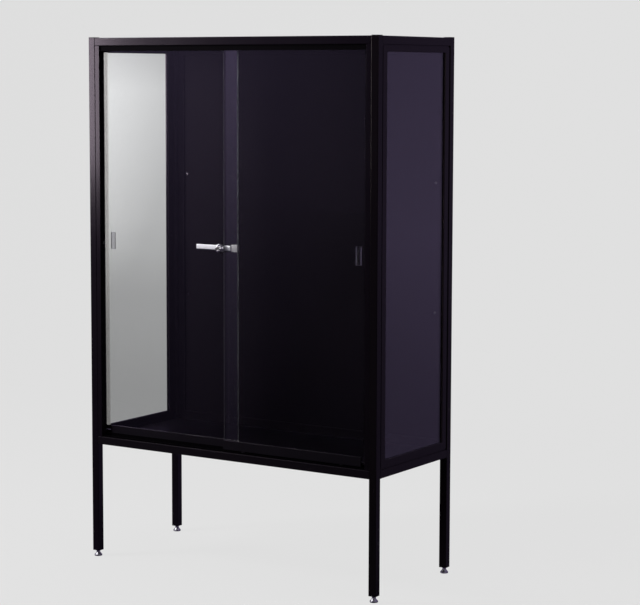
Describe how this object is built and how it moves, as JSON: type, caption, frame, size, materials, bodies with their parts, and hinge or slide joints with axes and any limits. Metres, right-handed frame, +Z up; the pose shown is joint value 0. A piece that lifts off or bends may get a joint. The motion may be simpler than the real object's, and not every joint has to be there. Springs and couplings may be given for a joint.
{
  "type": "free-standing showcase cabinet",
  "caption": "Tall black display cabinet on slim legs: glazed sides, solid back, sliding glass doors on rollers with a ratchet lock, and levelling feet.",
  "frame": {"origin": "on the floor, under the middle of the cabinet", "axes": "+X to the viewer's right, +Y to the back, +Z up; the doors face -Y"},
  "size_m": [0.9, 0.375, 1.4],
  "materials": {
    "black_paint": "satin black powder coat",
    "black_plastic": "fine moulded grain",
    "black_board": "black laminate on board",
    "clear_glass": "clear float glass, ground edges",
    "black_anodised": "black anodised extrusion",
    "roller_nylon": "turned nylon",
    "clear_acrylic": "clear grey acrylic",
    "smoke_vinyl": "translucent grey vinyl",
    "clear_rubber": "translucent rubber",
    "chrome": "polished chrome plate",
    "plug_metal": "nickel-plated brass",
    "zinc": "bright zinc plate"
  },
  "bodies": {
    "case": {"back_bead": "black_paint", "back_panel": "black_paint", "bead_screw_left": "black_paint", "bead_screw_right": "black_paint", "door_bumper": "clear_rubber", "floor_board": "black_board", "jamb_left": "black_paint", "jamb_right": "black_paint", "lower_track": "black_anodised", "upper_track": "black_anodised", "top_board": "black_board", "post_front_left": "black_paint", "post_front_right": "black_paint", "post_rear_left": "black_paint", "post_rear_right": "black_paint", "post_cap_front_left": "black_plastic", "post_cap_front_right": "black_plastic", "post_cap_rear_left": "black_plastic", "post_cap_rear_right": "black_plastic", "rail_bottom_front": "black_paint", "rail_bottom_rear": "black_paint", "rail_bottom_left": "black_paint", "rail_bottom_right": "black_paint", "rail_top_front": "black_paint", "rail_top_rear": "black_paint", "rail_top_left": "black_paint", "rail_top_right": "black_paint", "shelf_socket_lower_left": "black_paint", "shelf_socket_lower_right": "black_paint", "shelf_socket_upper_left": "black_paint", "shelf_socket_upper_right": "black_paint", "side_glass_left": "clear_glass", "side_glass_right": "clear_glass", "side_inner_bead_left": "black_paint", "side_inner_bead_right": "black_paint", "side_outer_bead_left": "black_paint", "side_outer_bead_right": "black_paint"},
    "left_door": {"door_glass_left": "clear_glass", "door_shoe_left": "black_anodised", "edge_seal_left": "smoke_vinyl", "finger_pull_left": "clear_acrylic", "lock_bar": "chrome"},
    "right_door": {"door_glass_right": "clear_glass", "door_shoe_right": "black_anodised", "edge_seal_right": "smoke_vinyl", "finger_pull_right": "clear_acrylic"},
    "lock_barrel": {"lock_barrel": "chrome"},
    "lock_plug": {"lock_plug": "plug_metal"},
    "roller_left_outer": {"door_roller_left_outer": "roller_nylon"},
    "roller_left_inner": {"door_roller_left_inner": "roller_nylon"},
    "roller_right_outer": {"door_roller_right_outer": "roller_nylon"},
    "roller_right_inner": {"door_roller_right_inner": "roller_nylon"},
    "foot_front_left": {"levelling_foot_front_left": "zinc"},
    "foot_front_right": {"levelling_foot_front_right": "zinc"},
    "foot_rear_left": {"levelling_foot_rear_left": "zinc"},
    "foot_rear_right": {"levelling_foot_rear_right": "zinc"}
  },
  "joints": [
    {"name": "left_door_slide", "type": "slide", "parent": "case", "child": "left_door", "axis": [1, 0, 0], "range_m": [0, 0.38]},
    {"name": "right_door_slide", "type": "slide", "parent": "case", "child": "right_door", "axis": [-1, 0, 0], "range_m": [0, 0.3]},
    {"name": "lock_barrel_slide", "type": "slide", "parent": "right_door", "child": "lock_barrel", "axis": [-1, 0, 0], "range_m": [0, 0.06]},
    {"name": "lock_plug_turn", "type": "hinge", "parent": "lock_barrel", "child": "lock_plug", "pos_m": [-0.03055, -0.1875, 0.858], "axis": [0, 1, 0], "range_deg": [0, 90]},
    {"name": "roller_left_outer_spin", "type": "hinge", "parent": "left_door", "child": "roller_left_outer", "pos_m": [-0.3405, -0.162, 0.3398], "axis": [0, 1, 0], "range_deg": [-4600, 4600]},
    {"name": "roller_left_inner_spin", "type": "hinge", "parent": "left_door", "child": "roller_left_inner", "pos_m": [-0.04075, -0.162, 0.3398], "axis": [0, 1, 0], "range_deg": [-4600, 4600]},
    {"name": "roller_right_outer_spin", "type": "hinge", "parent": "right_door", "child": "roller_right_outer", "pos_m": [0.04075, -0.175, 0.3398], "axis": [0, 1, 0], "range_deg": [-4600, 4600]},
    {"name": "roller_right_inner_spin", "type": "hinge", "parent": "right_door", "child": "roller_right_inner", "pos_m": [0.3405, -0.175, 0.3398], "axis": [0, 1, 0], "range_deg": [-4600, 4600]},
    {"name": "foot_front_left_turn", "type": "hinge", "parent": "case", "child": "foot_front_left", "pos_m": [-0.4395, -0.177, 0], "axis": [0, 0, 1], "continuous": true},
    {"name": "foot_front_right_turn", "type": "hinge", "parent": "case", "child": "foot_front_right", "pos_m": [0.4395, -0.177, 0], "axis": [0, 0, 1], "continuous": true},
    {"name": "foot_rear_left_turn", "type": "hinge", "parent": "case", "child": "foot_rear_left", "pos_m": [-0.4395, 0.177, 0], "axis": [0, 0, 1], "continuous": true},
    {"name": "foot_rear_right_turn", "type": "hinge", "parent": "case", "child": "foot_rear_right", "pos_m": [0.4395, 0.177, 0], "axis": [0, 0, 1], "continuous": true}
  ],
  "couplings": [
    {"joint": "roller_left_outer_spin", "follows": "left_door_slide", "rad_per_m": 188.68},
    {"joint": "roller_left_inner_spin", "follows": "left_door_slide", "rad_per_m": 188.68},
    {"joint": "roller_right_outer_spin", "follows": "right_door_slide", "rad_per_m": -188.68},
    {"joint": "roller_right_inner_spin", "follows": "right_door_slide", "rad_per_m": -188.68}
  ]
}
